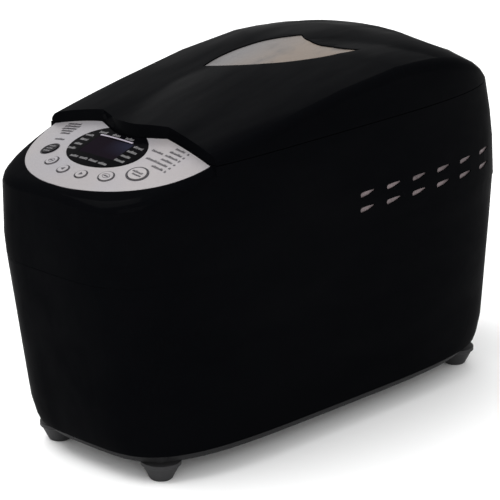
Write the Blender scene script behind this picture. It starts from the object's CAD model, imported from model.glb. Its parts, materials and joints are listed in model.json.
"""Bread machine: smooth shells, printed panel, finishes and a plain stage, laid out as an add-on."""

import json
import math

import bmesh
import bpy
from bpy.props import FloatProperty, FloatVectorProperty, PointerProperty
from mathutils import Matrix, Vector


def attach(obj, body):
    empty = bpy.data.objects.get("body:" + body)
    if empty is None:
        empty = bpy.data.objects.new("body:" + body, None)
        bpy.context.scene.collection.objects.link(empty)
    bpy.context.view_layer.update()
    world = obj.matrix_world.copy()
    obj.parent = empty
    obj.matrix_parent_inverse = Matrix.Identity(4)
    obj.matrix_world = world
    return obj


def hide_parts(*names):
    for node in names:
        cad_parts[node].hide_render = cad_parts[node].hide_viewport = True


bl_info = {
    "name": "Bread machine",
    "version": (1, 0, 0),
    "blender": (4, 5, 0),
    "location": "3D View > Sidebar > Bread machine",
    "description": "Finishes, printed marks and stage for a bread machine",
    "category": "Object",
}

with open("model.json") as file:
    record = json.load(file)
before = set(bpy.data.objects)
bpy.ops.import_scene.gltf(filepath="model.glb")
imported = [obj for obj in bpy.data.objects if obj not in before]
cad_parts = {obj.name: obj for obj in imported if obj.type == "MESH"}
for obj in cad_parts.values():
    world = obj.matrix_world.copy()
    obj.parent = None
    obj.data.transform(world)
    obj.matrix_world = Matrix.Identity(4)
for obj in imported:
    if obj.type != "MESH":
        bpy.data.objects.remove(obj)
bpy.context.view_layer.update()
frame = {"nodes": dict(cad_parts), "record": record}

MM = 0.001
SMOOTH_ANGLE = math.radians(33)
WELD_DISTANCE = 2e-6
SLIVER_DISTANCE = 1e-6
# Middle of each button in plan and the radius of its cap, in millimetres
BUTTONS = {
    "program": (-50.8, -190.6, 7.2),
    "size": (-31.6, -205.2, 5.1),
    "time_up": (-10.4, -212.0, 4.5),
    "time_down": (10.4, -212.0, 4.5),
    "crust": (31.6, -205.2, 5.8),
    "start": (50.8, -190.6, 7.5),
}


# ---------- sizes and colours ----------


def length(name, description, default):
    return FloatProperty(
        name=name, description=description, default=default, unit="LENGTH", subtype="DISTANCE"
    )


def colour(name, description, default):
    return FloatVectorProperty(
        name=name, description=description, default=default, subtype="COLOR", size=3, min=0, max=1
    )


def power(name, description, default):
    return FloatProperty(name=name, description=description, default=default, unit="POWER")


class PanelSizes(bpy.types.PropertyGroup):
    """The tilted control panel and what is printed on it"""

    tilt: FloatProperty(
        name="Tilt",
        description="Slope of the panel",
        default=math.radians(17.93),
        subtype="ANGLE",
        unit="ROTATION",
    )
    middle_y: length("Middle along the length", "Panel origin, front to back", -0.1744)
    middle_z: length("Middle height", "Panel origin, above the floor", 0.2644)
    crown: length("Crown radius", "Radius that the panel bows to from side to side", 0.378)
    print_thickness: length("Print thickness", "How far printed marks stand proud", 0.00009)
    ring_width: length("Button outline", "Width of the line printed round a button", 0.0009)
    start_ring_width: length("Start outline", "Width of the line round the start button", 0.0015)
    button_gap: length("Button gap", "Space between a button cap and its opening", 0.00045)
    lens_rise: length("Lens rise", "How far the display lens stands above the panel", 0.0003)
    cap_height: length("Cap height", "How far the button caps stand above the panel", 0.0007)
    letter: length("Mark height", "Height of the small printed strokes", 0.0027)
    lens_letter: length("Lens mark height", "Height of the small marks on the display lens", 0.0031)


class FinishColours(bpy.types.PropertyGroup):
    """Colours of the outer finishes"""

    body: colour("Body", "Gloss black moulding", (0.0013, 0.0014, 0.0018))
    silver: colour("Silver", "Painted control panel", (0.225, 0.217, 0.235))
    ink: colour("Ink", "Dark print on the silver panel", (0.010, 0.008, 0.012))
    pale_ink: colour("Pale ink", "Print on the black display lens", (0.1, 0.096, 0.1))
    glass: colour("Window", "Silvered viewing window", (0.112, 0.107, 0.108))
    screen: colour("Vent sheet", "Bright sheet behind the slits", (0.17, 0.138, 0.142))


class StageSettings(bpy.types.PropertyGroup):
    """Floor, lights and camera"""

    floor_size: length("Floor size", "Side of the square floor", 14.0)
    floor_colour: colour("Floor", "Plain pale floor", (0.93, 0.93, 0.93))
    key_power: power("Key light", "Power of the soft light above", 50.0)
    back_power: power("Back light", "Power of the light behind", 12.5)
    fill_power: power("Fill light", "Power of the front light", 16.0)
    surround: FloatProperty(
        name="Surround", description="Strength of the plain surround", default=0.95, min=0
    )
    lens: FloatProperty(
        name="Lens", description="Focal length in millimetres", default=193.0, subtype="DISTANCE_CAMERA"
    )
    distance: length("Camera distance", "From the middle of the machine to the camera", 2.2868)


# ---------- materials ----------


class Value:
    """A number or vector inside a material, so that an expression on it adds its Math nodes"""

    def __init__(self, finish, socket):
        self.finish, self.socket = finish, socket

    def math(self, operation, first, second):
        return self.finish.node("ShaderNodeMath", {"operation": operation}, {0: first, 1: second})

    def __add__(self, other):
        return self.math("ADD", self, other)

    def __sub__(self, other):
        return self.math("SUBTRACT", self, other)

    def __mul__(self, other):
        return self.math("MULTIPLY", self, other)

    def __gt__(self, other):
        return self.math("GREATER_THAN", self, other)

    def __rsub__(self, other):
        return self.math("SUBTRACT", other, self)

    __radd__, __rmul__ = __add__, __mul__


class Finish:
    """One surface finish: a Principled shader and the nodes that vary it over the surface"""

    def __init__(self, name, **constants):
        self.material = bpy.data.materials.new(name)
        self.material.use_nodes = True
        self.tree = self.material.node_tree
        self.shader = self.tree.nodes["Principled BSDF"]
        for socket, value in constants.items():
            self.put(self.shader.inputs[socket.replace("_", " ")], value)
        self.place = self.node("ShaderNodeTexCoord", output="Object")

    def put(self, socket, value):
        if isinstance(value, Value):
            self.tree.links.new(value.socket, socket)
        elif socket.type == "RGBA" and len(value) == 3:
            socket.default_value = (*value, 1)
        else:
            socket.default_value = value

    def node(self, kind, settings=None, inputs=None, output=0):
        node = self.tree.nodes.new(kind)
        for key, value in (settings or {}).items():
            setattr(node, key, value)
        for key, value in (inputs or {}).items():
            self.put(node.inputs[key], value)
        return Value(self, node.outputs[output])

    def turned(self, scale=(1, 1, 1), angle=(0, 0, 0)):
        inputs = {"Vector": self.place, "Scale": scale, "Rotation": angle}
        return self.node("ShaderNodeMapping", None, inputs)

    def axis(self, letter):
        return self.node("ShaderNodeSeparateXYZ", None, {0: self.place}, letter)

    def noise(self, pitch, detail=3.0, roughness=0.55, at=None):
        inputs = {"Vector": at or self.place, "Scale": 1 / pitch, "Detail": detail, "Roughness": roughness}
        return self.node("ShaderNodeTexNoise", None, inputs)

    def cells(self, pitch):
        """A random tone for each cell of one size"""
        inputs = {"Vector": self.place, "Scale": 1 / pitch}
        colours = self.node("ShaderNodeTexVoronoi", None, inputs, "Color")
        return self.node("ShaderNodeSeparateColor", None, {0: colours}, 0)

    def spread(self, value, low, high, start=0.0, end=1.0):
        inputs = {"Value": value, "From Min": low, "From Max": high, "To Min": start, "To Max": end}
        return self.node("ShaderNodeMapRange", None, inputs)

    def mix(self, factor, first, second):
        return self.node("ShaderNodeMix", {"data_type": "RGBA"}, {0: factor, 6: first, 7: second}, 2)

    def colour(self, value):
        self.put(self.shader.inputs["Base Color"], value)

    def rough(self, value):
        self.put(self.shader.inputs["Roughness"], value)

    def relief(self, height, depth, strength=0.5):
        inputs = {"Strength": strength, "Distance": depth, "Height": height}
        self.put(self.shader.inputs["Normal"], self.node("ShaderNodeBump", None, inputs, "Normal"))


def shade(rgb, factor):
    return tuple(min(1.0, c * factor) for c in rgb)


def moulded(name, rgb, roughness, pitch, depth, specular=0.2):
    """Moulded plastic: fine grain, faint flow marks and a little dust in its gloss"""
    finish = Finish(name, Specular_IOR_Level=specular)
    flow = finish.noise(0.05, 2.0, at=finish.turned((1, 0.35, 1)))
    dust = finish.spread(finish.noise(0.009, 5.0, 0.7), 0.56, 0.76)
    finish.colour(finish.mix(dust * 0.35, shade(rgb, 0.9), shade(rgb, 2.1)))
    finish.rough(finish.spread(flow, 0.3, 0.7, roughness - 0.05, roughness + 0.05) + dust * 0.06)
    grain = finish.noise(pitch, 2.0)
    finish.relief(grain + flow * 0.5, depth, 0.35)
    return finish.material


def gloss_black(colours):
    """Polished black moulding with wiping marks in the gloss and a trace of orange peel"""
    finish = Finish("gloss_black_moulding", Specular_IOR_Level=0.0, Coat_Roughness=0.12, Coat_IOR=1.15)
    wipe = finish.noise(0.035, 4.0, 0.6, at=finish.turned((1, 0.18, 0.6), (0, 0, 0.5)))
    specks = finish.spread(finish.noise(0.0016, 2.0), 0.66, 0.74)
    finish.colour(finish.mix(specks * 0.5, colours.body, shade(colours.body, 3.0)))
    finish.rough(finish.spread(wipe, 0.35, 0.7, 0.27, 0.4) + specks * 0.1)
    finish.put(finish.shader.inputs["Coat Weight"], finish.spread(wipe, 0.3, 0.7, 0.05, 0.12))
    peel = finish.noise(0.004, 1.0)
    finish.relief(peel, 0.00003, 0.25)
    return finish.material


def metal(name, rgb, roughness, streaks=(1, 1, 1), pitch=0.003, depth=0.00002):
    """Bare metal with directional finishing marks and slight staining"""
    finish = Finish(name, Metallic=1.0)
    marks = finish.noise(pitch, 4.0, 0.65, at=finish.turned(streaks))
    stain = finish.spread(finish.noise(0.03, 3.0), 0.4, 0.75)
    finish.colour(finish.mix(stain * 0.45, rgb, shade(rgb, 0.72)))
    finish.rough(finish.spread(marks, 0.3, 0.7, roughness - 0.07, roughness + 0.09) + stain * 0.08)
    finish.relief(marks, depth, 0.4)
    return finish.material


def plated(name, rgb):
    """Zinc-plated sheet with its spangle"""
    finish = Finish(name, Metallic=1.0)
    tone = finish.cells(0.007)
    finish.colour(finish.mix(tone, shade(rgb, 0.78), rgb))
    finish.rough(finish.spread(tone, 0, 1, 0.3, 0.46))
    finish.relief(finish.noise(0.002, 3.0), 0.00002, 0.3)
    return finish.material


def painted_silver(name, rgb, flake_tone=0.72):
    """Silver paint: metal flake under lacquer, with a slow warm and cool drift"""
    finish = Finish(name, Metallic=0.35, Coat_Weight=0.2, Coat_Roughness=0.25)
    flake = finish.cells(0.00035)
    drift = finish.noise(0.06, 1.0)
    warm = (rgb[0] * 1.06, rgb[1] * 1.02, rgb[2] * 0.95)
    paint = finish.mix(finish.spread(drift, 0.35, 0.65), warm, rgb)
    finish.colour(finish.mix(flake * 0.35, paint, shade(rgb, flake_tone)))
    finish.rough(finish.spread(flake, 0, 1, 0.34, 0.5))
    finish.relief(flake, 0.00001, 0.2)
    return finish.material


def print_ink(name, rgb):
    """Screen-printed ink, a little uneven where the screen left it thin"""
    finish = Finish(name, Specular_IOR_Level=0.3)
    thin = finish.spread(finish.noise(0.0006, 2.0), 0.5, 0.8)
    finish.colour(finish.mix(thin * 0.5, rgb, shade(rgb, 2.2)))
    finish.rough(finish.spread(thin, 0, 1, 0.45, 0.6))
    return finish.material


def display_black():
    """Smoked lens over the display, glossy with fine handling marks"""
    finish = Finish("display_lens_gloss", Specular_IOR_Level=0.008)
    smear = finish.noise(0.012, 4.0, 0.7, at=finish.turned((1, 3, 1), (0, 0, 0.7)))
    clean, smeared = (0.0012, 0.0012, 0.0016), (0.004, 0.0035, 0.005)
    finish.colour(finish.mix(finish.spread(smear, 0.5, 0.8) * 0.4, clean, smeared))
    finish.rough(finish.spread(smear, 0.35, 0.75, 0.1, 0.24))
    finish.relief(finish.noise(0.008, 1.0), 0.00002, 0.15)
    return finish.material


def liquid_crystal(sizes):
    """Unlit liquid crystal: violet to blue film with a fine row of cells"""
    finish = Finish("liquid_crystal_film", Specular_IOR_Level=0.008)
    right = finish.spread(finish.axis("X"), -0.004, 0.016)
    rear = finish.spread(finish.axis("Y"), sizes.middle_y - 0.008, sizes.middle_y + 0.006)
    violet, blue = (0.0036, 0.0018, 0.0042), (0.0095, 0.01, 0.02)
    film = finish.mix(right * rear, violet, blue)
    cell = finish.node("ShaderNodeTexChecker", None, {"Vector": finish.place, "Scale": 2400.0}, "Fac")
    finish.colour(finish.mix(cell * 0.2, film, (0.002, 0.002, 0.003)))
    finish.rough(finish.spread(finish.noise(0.01), 0.3, 0.7, 0.14, 0.22))
    return finish.material


def circuit_board():
    """Green solder mask over copper tracks"""
    finish = Finish("solder_mask", Specular_IOR_Level=0.5)
    tracks = finish.node("ShaderNodeTexBrick", {"offset": 0.5, "squash": 1.0}, {
        "Vector": finish.place, "Scale": 90.0, "Mortar Size": 0.012, "Brick Width": 0.7, "Row Height": 0.25,
    }, "Fac")
    patch = finish.spread(finish.noise(0.015, 1.0), 0.45, 0.55)
    finish.colour(finish.mix(tracks * patch, (0.012, 0.09, 0.035), (0.05, 0.2, 0.07)))
    finish.rough(finish.spread(patch, 0, 1, 0.3, 0.42))
    finish.relief(tracks, 0.00004, 0.5)
    return finish.material


def electric_parts():
    """Mixed cases of the parts on the boards: dark, tan and blue by place"""
    finish = Finish("component_cases", Specular_IOR_Level=0.4)
    tone = finish.cells(0.02)
    dark = finish.mix(tone > 0.5, (0.03, 0.03, 0.035), (0.3, 0.22, 0.08))
    finish.colour(finish.mix(tone > 0.8, dark, (0.03, 0.09, 0.22)))
    finish.rough(finish.spread(finish.noise(0.002), 0.3, 0.7, 0.35, 0.55))
    return finish.material


def nonstick():
    """Dark non-stick coating with pale mineral fleck and baked-on wear"""
    finish = Finish("nonstick_coating", Metallic=0.25, Specular_IOR_Level=0.45)
    fleck = finish.spread(finish.noise(0.0011, 3.0, 0.6), 0.6, 0.68)
    wear = finish.spread(finish.noise(0.02, 4.0), 0.52, 0.75)
    base = finish.mix(wear * 0.4, (0.045, 0.044, 0.046), (0.085, 0.08, 0.078))
    finish.colour(finish.mix(fleck * 0.55, base, (0.22, 0.215, 0.21)))
    finish.rough(finish.spread(wear, 0, 1, 0.38, 0.52) + fleck * 0.08)
    finish.relief(finish.noise(0.0008, 2.0), 0.00003, 0.4)
    return finish.material


def silvered_glass(colours):
    """Silvered heat glass: cool on its left, warm on its right, clouded, and bright at its nose"""
    finish = Finish("window_glass_silvered", Specular_IOR_Level=0.02)
    across = finish.axis("X")
    along = finish.axis("Y")
    haze = finish.noise(0.05, 2.0, at=finish.turned((1, 0.4, 1)))
    warm_side = finish.spread(across + along * 0.12 + haze * 0.03, -0.004, 0.036)
    warm, bright = (0.135, 0.112, 0.095), (0.42, 0.41, 0.385)
    glass = finish.mix(warm_side, colours.glass, warm)
    cloud = finish.spread(finish.noise(0.018, 3.0, at=finish.turned((1, 0.5, 1))), 0.5, 0.72)
    glass = finish.mix(cloud * 0.7, glass, shade(colours.glass, 0.62))
    nose = finish.spread(along - across * 0.3, -0.034, -0.062)
    finish.colour(finish.mix(nose * 0.8, glass, bright))
    finish.rough(finish.spread(haze, 0.3, 0.7, 0.22, 0.34))
    finish.relief(finish.noise(0.02, 1.0), 0.00004, 0.15)
    return finish.material


def clear_glass():
    """Clear inner glass with a light bloom of flour and steam"""
    finish = Finish("inner_glass_clear", Specular_IOR_Level=0.5, Base_Color=(0.7, 0.76, 0.75))
    bloom = finish.spread(finish.noise(0.02, 4.0, 0.65), 0.45, 0.8)
    finish.rough(finish.spread(bloom, 0, 1, 0.04, 0.3))
    finish.put(finish.shader.inputs["Alpha"], finish.spread(bloom, 0, 1, 0.18, 0.42))
    return finish.material


def ceramic():
    """Glazed ceramic with fine brown specks"""
    finish = Finish("ceramic_beads", Specular_IOR_Level=0.5)
    specks = finish.spread(finish.noise(0.0007, 2.0), 0.64, 0.72)
    finish.colour(finish.mix(specks * 0.6, (0.78, 0.75, 0.68), (0.35, 0.27, 0.2)))
    finish.rough(finish.spread(finish.noise(0.004), 0.3, 0.7, 0.25, 0.4))
    return finish.material


def heater_sheath():
    """Alloy sheath blued and browned by heat"""
    finish = Finish("heater_sheath", Metallic=0.85)
    heat = finish.spread(finish.noise(0.04, 2.0), 0.35, 0.65)
    scale = finish.spread(finish.noise(0.0015, 4.0, 0.7), 0.45, 0.7)
    tint = finish.mix(heat, (0.19, 0.17, 0.17), (0.27, 0.2, 0.14))
    finish.colour(finish.mix(scale * 0.5, tint, (0.07, 0.065, 0.07)))
    finish.rough(finish.spread(scale, 0, 1, 0.4, 0.62))
    finish.relief(scale, 0.00004, 0.4)
    return finish.material


def sprung_rubber(name, rgb, pitch=0.0006):
    """Rubber with a dry bloom and a fine skin"""
    finish = Finish(name, Specular_IOR_Level=0.25)
    bloom = finish.spread(finish.noise(0.01, 4.0, 0.65), 0.45, 0.8)
    finish.colour(finish.mix(bloom * 0.6, rgb, shade(rgb, 1.9)))
    finish.rough(finish.spread(bloom, 0, 1, 0.6, 0.85))
    finish.relief(finish.noise(pitch, 2.0), 0.00005, 0.5)
    return finish.material


def make_finishes(colours, sizes):
    """Every finish by the name of its material slot"""
    along = (1, 0.06, 1)
    return {
        "gloss_black": gloss_black(colours),
        "matte_black": moulded("matte_black_moulding", (0.011, 0.011, 0.012), 0.58, 0.0007, 0.00006),
        "foot_rubber": sprung_rubber("foot_rubber_skin", (0.018, 0.018, 0.019)),
        "silver_overlay": painted_silver("silver_panel_paint", colours.silver),
        "display_gloss": display_black(),
        "lcd": liquid_crystal(sizes),
        "button_silver": painted_silver("silver_button_paint", shade(colours.silver, 1.04), 0.756),
        "button_black": moulded("black_button_cap", (0.003, 0.0025, 0.004), 0.36, 0.0006, 0.00002, 0.04),
        "circuit_board": circuit_board(),
        "electric_parts": electric_parts(),
        "bright_steel": metal("bright_steel", (0.6, 0.6, 0.61), 0.24, (1, 1, 0.1)),
        "plated_sheet": plated("plated_sheet", (0.6, 0.61, 0.63)),
        "bright_aluminium": metal("bright_aluminium", (0.58, 0.575, 0.57), 0.34, along, 0.002),
        "cast_aluminium": metal("cast_aluminium", (0.56, 0.56, 0.57), 0.48, (1, 1, 1), 0.0012, 0.00006),
        "nonstick_coating": nonstick(),
        "window_glass": silvered_glass(colours),
        "inner_glass": clear_glass(),
        "gasket_black": sprung_rubber("window_gasket_rubber", (0.012, 0.012, 0.012)),
        "seal_red": sprung_rubber("silicone_seal", (0.28, 0.04, 0.03)),
        "element_sheath": heater_sheath(),
        "ceramic_white": ceramic(),
        "bush_bronze": metal("bush_bronze", (0.55, 0.36, 0.18), 0.38, (1, 1, 1), 0.0009, 0.00004),
        "pulley_plastic": moulded("pulley_nylon", (0.05, 0.05, 0.052), 0.5, 0.0009, 0.00005, 0.4),
        "belt_rubber": sprung_rubber("belt_rubber_weave", (0.02, 0.02, 0.02), 0.0009),
    }


# ---------- shapes ----------


def finished(mesh, name, body, material):
    """An object from a bmesh, riding on its body, with its finish"""
    bmesh.ops.recalc_face_normals(mesh, faces=mesh.faces)
    data = bpy.data.meshes.new(name)
    mesh.to_mesh(data)
    mesh.free()
    return placed(data, name, body, material)


def placed(data, name, body, material):
    piece = bpy.data.objects.new(name, data)
    bpy.context.scene.collection.objects.link(piece)
    data.materials.clear()
    data.materials.append(material)
    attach(piece, body)
    return piece


def smooth_copy(node, name, body, material):
    """A smooth-shaded copy of a faceted moulding, with its real edges kept sharp"""
    mesh = bmesh.new()
    mesh.from_mesh(frame["nodes"][node].data)
    bmesh.ops.remove_doubles(mesh, verts=mesh.verts, dist=WELD_DISTANCE)
    bmesh.ops.dissolve_degenerate(mesh, edges=mesh.edges, dist=SLIVER_DISTANCE)
    for face in mesh.faces:
        face.smooth = True
    for edge in mesh.edges:
        edge.smooth = len(edge.link_faces) == 2 and edge.calc_face_angle() < SMOOTH_ANGLE
    data = bpy.data.meshes.new(name)
    mesh.to_mesh(data)
    mesh.free()
    for attribute in [a for a in data.attributes if a.name == "custom_normal"]:
        data.attributes.remove(attribute)
    piece = placed(data, name, body, material)
    even = piece.modifiers.new("Even shading", "WEIGHTED_NORMAL")
    even.keep_sharp = True
    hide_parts(node)
    return piece


def panel_matrix(sizes):
    """Places a drawing made level at the origin on the tilted panel"""
    turn = Matrix.Rotation(sizes.tilt, 4, "X")
    return Matrix.Translation((0, sizes.middle_y, sizes.middle_z)) @ turn


def lay_on_panel(mesh, sizes, lift):
    """Moves a mesh drawn level at the origin onto the panel, bowed with it"""
    for vert in mesh.verts:
        vert.co.z += lift - sizes.crown + math.sqrt(sizes.crown**2 - vert.co.x**2)
    mesh.transform(panel_matrix(sizes))


def lay_on_cap(mesh, sizes, x):
    """Moves a mesh drawn level at the origin onto a flat cap, which leans with the panel's bow"""
    lean = Matrix.Rotation(math.asin(x / sizes.crown), 4, "Y")
    down = Matrix.Translation((0, 0, -sizes.crown))
    up = Matrix.Translation((-x, 0, sizes.crown + sizes.cap_height))
    mesh.transform(panel_matrix(sizes) @ down @ lean @ up)


def thicken(mesh, faces, thickness):
    """Raises flat faces into closed prints of one thickness"""
    raised = bmesh.ops.extrude_face_region(mesh, geom=faces)
    tops = [v for v in raised["geom"] if isinstance(v, bmesh.types.BMVert)]
    bmesh.ops.translate(mesh, verts=tops, vec=(0, 0, thickness))


def faces_of(made):
    """The faces round the vertices that an operator made"""
    return list({face for vert in made["verts"] for face in vert.link_faces})


def add_bar(mesh, x, y, width, height, thickness, steps=1):
    """One printed bar about a middle point"""
    where = Matrix.Translation((x, y, 0)) @ Matrix.Diagonal((width, height, 1, 1))
    made = bmesh.ops.create_grid(mesh, x_segments=steps, y_segments=1, size=0.5, matrix=where)
    thicken(mesh, faces_of(made), thickness)


def add_ring(mesh, x, y, outer, width, thickness, squash=1.0, segments=56):
    """One printed ring about a middle point"""
    where = Matrix.Translation((x, y, 0)) @ Matrix.Diagonal((1, squash, 1, 1))
    edges = []
    for radius in (outer, outer - width):
        made = bmesh.ops.create_circle(mesh, segments=segments, radius=radius, matrix=where)
        edges += list({e for v in made["verts"] for e in v.link_edges})
    ring = bmesh.ops.bridge_loops(mesh, edges=edges)
    thicken(mesh, ring["faces"], thickness)


# Strokes of a printed word: spacing as a part of its height, heights as parts of the tallest, and
# widths as parts of the spacing
STROKE_PITCH = 0.36
STROKE_HEIGHTS = (1.0, 0.72, 0.78, 0.72, 0.95, 0.7, 0.8)
STROKE_WIDTHS = (0.66, 0.5, 0.74, 0.58)


def add_strokes(mesh, x, y, width, height, thickness, pattern):
    """A run of upright strokes that stands for a small printed word"""
    pitch = height * STROKE_PITCH
    for i in range(max(2, round(width / pitch))):
        tall = STROKE_HEIGHTS[(i * 3 + pattern) % len(STROKE_HEIGHTS)]
        thick = STROKE_WIDTHS[(i + pattern) % len(STROKE_WIDTHS)] * pitch
        across = x - width / 2 + (i + 0.5) * pitch
        add_bar(mesh, across, y - height * (1 - tall) / 2, thick, height * tall, thickness)


def add_words(mesh, words, height, thickness):
    """Stroke words, each with its middle x and y and its width in millimetres, and its pattern"""
    for x, y, width, pattern in words:
        add_strokes(mesh, x * MM, y * MM, width * MM, height, thickness, pattern)


# ---------- operators ----------


class BREAD_OT_finishes(bpy.types.Operator):
    """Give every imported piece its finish"""

    bl_idname = "bread.finishes"
    bl_label = "Finishes"

    def execute(self, context):
        settings = context.scene
        made = make_finishes(settings.bread_colours, settings.bread_panel)
        for part in frame["record"]["subparts"]:
            data = frame["nodes"][part["node"]].data
            data.materials.clear()
            data.materials.append(made[part["material_slot"]])
        return {"FINISHED"}


def finish_of(node):
    return frame["nodes"][node].data.materials[0]


SHELLS = ("lower_shell", "upper_housing", "lid_shell", "base_tray", "window_gasket", "lid_inner_panel")


class BREAD_OT_shells(bpy.types.Operator):
    """Smooth the housings, lid, tray and the sheets that follow their curves"""

    bl_idname = "bread.shells"
    bl_label = "Shells"

    def execute(self, context):
        bodies = frame["record"]["behaviour"]["bodies"]
        for node in SHELLS:
            body = next(b for b, members in bodies.items() if node in members)
            smooth_copy(node, f"{node}_smooth", body, finish_of(node))
        return {"FINISHED"}


class BREAD_OT_window(bpy.types.Operator):
    """Smooth the viewing window's glass"""

    bl_idname = "bread.window"
    bl_label = "Viewing window"

    def execute(self, context):
        smooth_copy("window_pane", "window_glass", "lid", finish_of("window_pane"))
        return {"FINISHED"}


class BREAD_OT_vents(bpy.types.Operator):
    """Smooth the bright sheets behind the side slits"""

    bl_idname = "bread.vents"
    bl_label = "Vent sheets"

    def execute(self, context):
        finish = Finish("vent_sheet_bright", Specular_IOR_Level=0.1)
        tone = finish.noise(0.02, 2.0, at=finish.turned((1, 1, 2)))
        rgb = context.scene.bread_colours.screen
        finish.colour(finish.mix(finish.spread(tone, 0.35, 0.65), shade(rgb, 0.5), rgb))
        finish.rough(finish.spread(tone, 0.3, 0.7, 0.35, 0.5))
        finish.relief(finish.noise(0.0015, 2.0), 0.00003, 0.3)
        smooth_copy("vent_screens", "vent_sheets", "root", finish.material)
        return {"FINISHED"}


class BREAD_OT_marks(bpy.types.Operator):
    """Print the outlines and marks on the panel, the display lens and the button caps"""

    bl_idname = "bread.marks"
    bl_label = "Printed marks"

    def execute(self, context):
        sizes, colours = context.scene.bread_panel, context.scene.bread_colours
        dark = print_ink("dark_print", colours.ink)
        pale = print_ink("pale_print", colours.pale_ink)
        self.outlines(sizes, dark)
        self.wing_lists(sizes, dark)
        self.lens_marks(sizes, pale)
        self.cap_marks(sizes, dark, pale)
        return {"FINISHED"}

    def outlines(self, sizes, ink):
        mesh = bmesh.new()
        for button in BUTTONS:
            x, y, radius = self.place_of(sizes, button)
            width = sizes.start_ring_width if button == "start" else sizes.ring_width
            add_ring(mesh, x, y, radius + sizes.button_gap + width, width, sizes.print_thickness)
        lay_on_panel(mesh, sizes, 0)
        finished(mesh, "button_outlines", "root", ink)

    def place_of(self, sizes, button):
        """A button's middle and cap radius in the panel's plane"""
        x, y, radius = (value * MM for value in BUTTONS[button])
        return x, (y - sizes.middle_y) / math.cos(sizes.tilt), radius

    def wing_lists(self, sizes, ink):
        """Two headings and a list of six lines on the right wing, six lines on the left one"""
        top, pitch = 24.6, 5.4
        widths = (10, 13, 12.4, 11.4, 10.6, 11.8)
        words = [(58.4, top - pitch * row, width, row) for row, width in enumerate(widths)]
        words += [(67, top - 0.4 - pitch * row, 2, row + 2) for row in range(len(widths))]
        words += [(44, 13.6, 12, 4), (47.2, 3.2, 12, 5)]
        top, pitch = 22.6, 3.7
        left = ((-62.4, 17), (-61.8, 18), (-61.6, 18), (-60.2, 15), (-58.6, 12))
        words += [(x, top - pitch * row, width, row + 1) for row, (x, width) in enumerate(left)]
        words.append((-55.2, -1.6, 12, 3))
        mesh = bmesh.new()
        add_words(mesh, words, sizes.letter, sizes.print_thickness)
        lay_on_panel(mesh, sizes, 0)
        finished(mesh, "wing_print", "root", ink)

    def lens_marks(self, sizes, ink):
        """Small legends round the liquid crystal, and the pale bar behind it"""
        words = [(-20 + 15.3 * i, 16.2, 9, i) for i in range(3)]
        for i in range(4):
            y = 9.6 - 6.9 * i
            words.append((-29.8 + 0.5 * math.sin(i), y, 8.6, i + 3))
            words.append((26.6 - 0.4 * i, y, 10, i + 1))
            words.append((-16.7 + 10.9 * i, -20.4, 9.4, i + 2))
        mesh = bmesh.new()
        add_words(mesh, words, sizes.lens_letter, sizes.print_thickness)
        lay_on_panel(mesh, sizes, sizes.lens_rise)
        finished(mesh, "lens_print", "root", ink)
        self.lens_strip(sizes)

    def lens_strip(self, sizes):
        """The pale bar along the display's back edge"""
        bar = bmesh.new()
        width, depth, thickness = 37 * MM, 1.5 * MM, 0.25 * MM
        add_bar(bar, -1.2 * MM, 12.6 * MM, width, depth, thickness, steps=12)
        lay_on_panel(bar, sizes, sizes.lens_rise)
        finish = Finish("lens_edge_strip", Specular_IOR_Level=0.5)
        tone = finish.noise(0.004, 2.0)
        finish.colour(finish.mix(tone, (0.2, 0.18, 0.215), (0.28, 0.25, 0.3)))
        finish.rough(finish.spread(tone, 0.3, 0.7, 0.2, 0.35))
        finished(bar, "lens_strip", "root", finish.material)

    def cap_marks(self, sizes, dark, pale):
        """Words, rings and arrows on the caps; each rides with its own button"""
        for button in BUTTONS:
            x, y, radius = self.place_of(sizes, button)
            mesh = bmesh.new()
            if button == "program":
                for i in (-1, 0, 1):
                    row = y + i * 3.6 * MM
                    add_strokes(mesh, x, row, 7.8 * MM, 2.0 * MM, sizes.print_thickness, i + 3)
            elif button == "start":
                upper, lower = y + 1.4 * MM, y - 1.9 * MM
                add_strokes(mesh, x - 0.5 * MM, upper, 10.6 * MM, 2.4 * MM, sizes.print_thickness, 2)
                add_strokes(mesh, x + 0.9 * MM, lower, 8.8 * MM, 2.1 * MM, sizes.print_thickness, 4)
            elif button.startswith("time"):
                turn = math.pi / 2 if button == "time_up" else -math.pi / 2
                where = Matrix.Translation((x, y, 0)) @ Matrix.Rotation(turn, 4, "Z")
                arrow = 2.3 * MM
                made = bmesh.ops.create_circle(mesh, cap_ends=True, segments=3, radius=arrow, matrix=where)
                thicken(mesh, faces_of(made), sizes.print_thickness)
            else:
                add_ring(mesh, x, y, radius * 0.62, 0.5 * MM, sizes.print_thickness, 0.8, 32)
                add_strokes(mesh, x, y, radius * 0.72, radius * 0.3, sizes.print_thickness, 1)
            lay_on_cap(mesh, sizes, x)
            ink = pale if button == "program" else dark
            finished(mesh, f"{button}_mark", f"{button}_button_key", ink)


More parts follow.
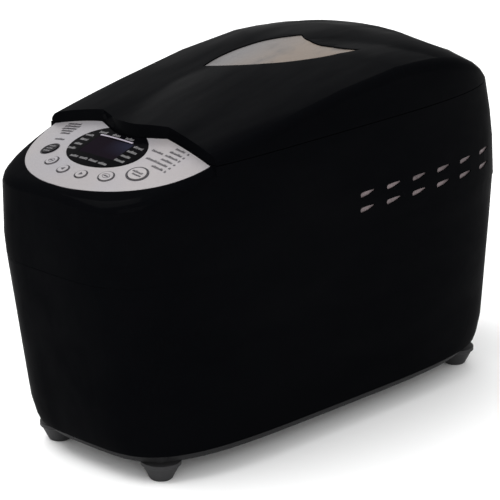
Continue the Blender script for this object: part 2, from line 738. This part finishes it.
class BREAD_OT_stage(bpy.types.Operator):
    """Lay a plain pale floor, hang soft lights and set the camera"""

    bl_idname = "bread.stage"
    bl_label = "Stage"

    def execute(self, context):
        settings = context.scene.bread_stage
        self.floor(context, settings)
        self.lights(context, settings)
        self.camera(context, settings)
        context.scene.view_settings.view_transform = "Standard"
        return {"FINISHED"}

    def floor(self, context, settings):
        mesh = bmesh.new()
        bmesh.ops.create_grid(mesh, x_segments=2, y_segments=2, size=settings.floor_size / 2)
        data = bpy.data.meshes.new("studio_floor")
        mesh.to_mesh(data)
        mesh.free()
        finish = Finish("studio_floor_paper", Specular_IOR_Level=0.1)
        finish.colour(settings.floor_colour)
        finish.rough(0.9)
        data.materials.append(finish.material)
        floor = bpy.data.objects.new("studio_floor", data)
        context.scene.collection.objects.link(floor)

    def lights(self, context, settings):
        world = bpy.data.worlds.new("plain_surround")
        world.use_nodes = True
        back = world.node_tree.nodes["Background"]
        back.inputs["Color"].default_value = (1, 1, 1, 1)
        back.inputs["Strength"].default_value = settings.surround
        context.scene.world = world
        aim = Vector((0, 0, 0.15))
        for name, energy, size, place in (
            ("key_light", settings.key_power, 1.8, (-0.5, -0.9, 2.3)),
            ("back_light", settings.back_power, 1.4, (-1.2, 1.5, 1.8)),
            ("fill_light", settings.fill_power, 1.6, (1.7, -1.6, 1.1)),
        ):
            data = bpy.data.lights.new(name, "AREA")
            data.energy, data.size = energy, size
            lamp = bpy.data.objects.new(name, data)
            lamp.location = place
            lamp.rotation_euler = (aim - Vector(place)).to_track_quat("-Z", "Y").to_euler()
            context.scene.collection.objects.link(lamp)

    def camera(self, context, settings):
        middle = Vector((0, 0.010, 0.1391))
        towards_camera = Vector((0.6590, -0.6840, 0.3130))
        data = bpy.data.cameras.new("product_camera")
        data.lens, data.sensor_width = settings.lens, 36
        data.shift_x, data.shift_y = -0.0371, -0.0105
        data.clip_end = 100
        camera = bpy.data.objects.new("product_camera", data)
        camera.location = middle + towards_camera * settings.distance
        camera.rotation_euler = (-towards_camera).to_track_quat("-Z", "Y").to_euler()
        context.scene.collection.objects.link(camera)
        context.scene.camera = camera


class BREAD_PT_sidebar(bpy.types.Panel):
    """Lists the steps that finish the bread machine"""

    bl_label = "Bread machine"
    bl_idname = "BREAD_PT_sidebar"
    bl_space_type = "VIEW_3D"
    bl_region_type = "UI"
    bl_category = "Bread machine"

    def draw(self, context):
        for operator in OPERATORS:
            self.layout.operator(operator.bl_idname)
        for group in (context.scene.bread_panel, context.scene.bread_colours, context.scene.bread_stage):
            box = self.layout.box()
            for name in group.__annotations__:
                box.prop(group, name)


GROUPS = (PanelSizes, FinishColours, StageSettings)
OPERATORS = (
    BREAD_OT_stage,
    BREAD_OT_finishes,
    BREAD_OT_shells,
    BREAD_OT_window,
    BREAD_OT_vents,
    BREAD_OT_marks,
)


def register():
    for item in (*GROUPS, *OPERATORS, BREAD_PT_sidebar):
        bpy.utils.register_class(item)
    bpy.types.Scene.bread_panel = PointerProperty(type=PanelSizes)
    bpy.types.Scene.bread_colours = PointerProperty(type=FinishColours)
    bpy.types.Scene.bread_stage = PointerProperty(type=StageSettings)


def unregister():
    del bpy.types.Scene.bread_stage
    del bpy.types.Scene.bread_colours
    del bpy.types.Scene.bread_panel
    for item in reversed((*GROUPS, *OPERATORS, BREAD_PT_sidebar)):
        bpy.utils.unregister_class(item)


def main():
    register()
    bpy.ops.bread.stage()
    bpy.ops.bread.finishes()
    bpy.ops.bread.shells()
    bpy.ops.bread.window()
    bpy.ops.bread.vents()
    bpy.ops.bread.marks()
    bpy.context.view_layer.update()


if __name__ == "__main__":
    main()
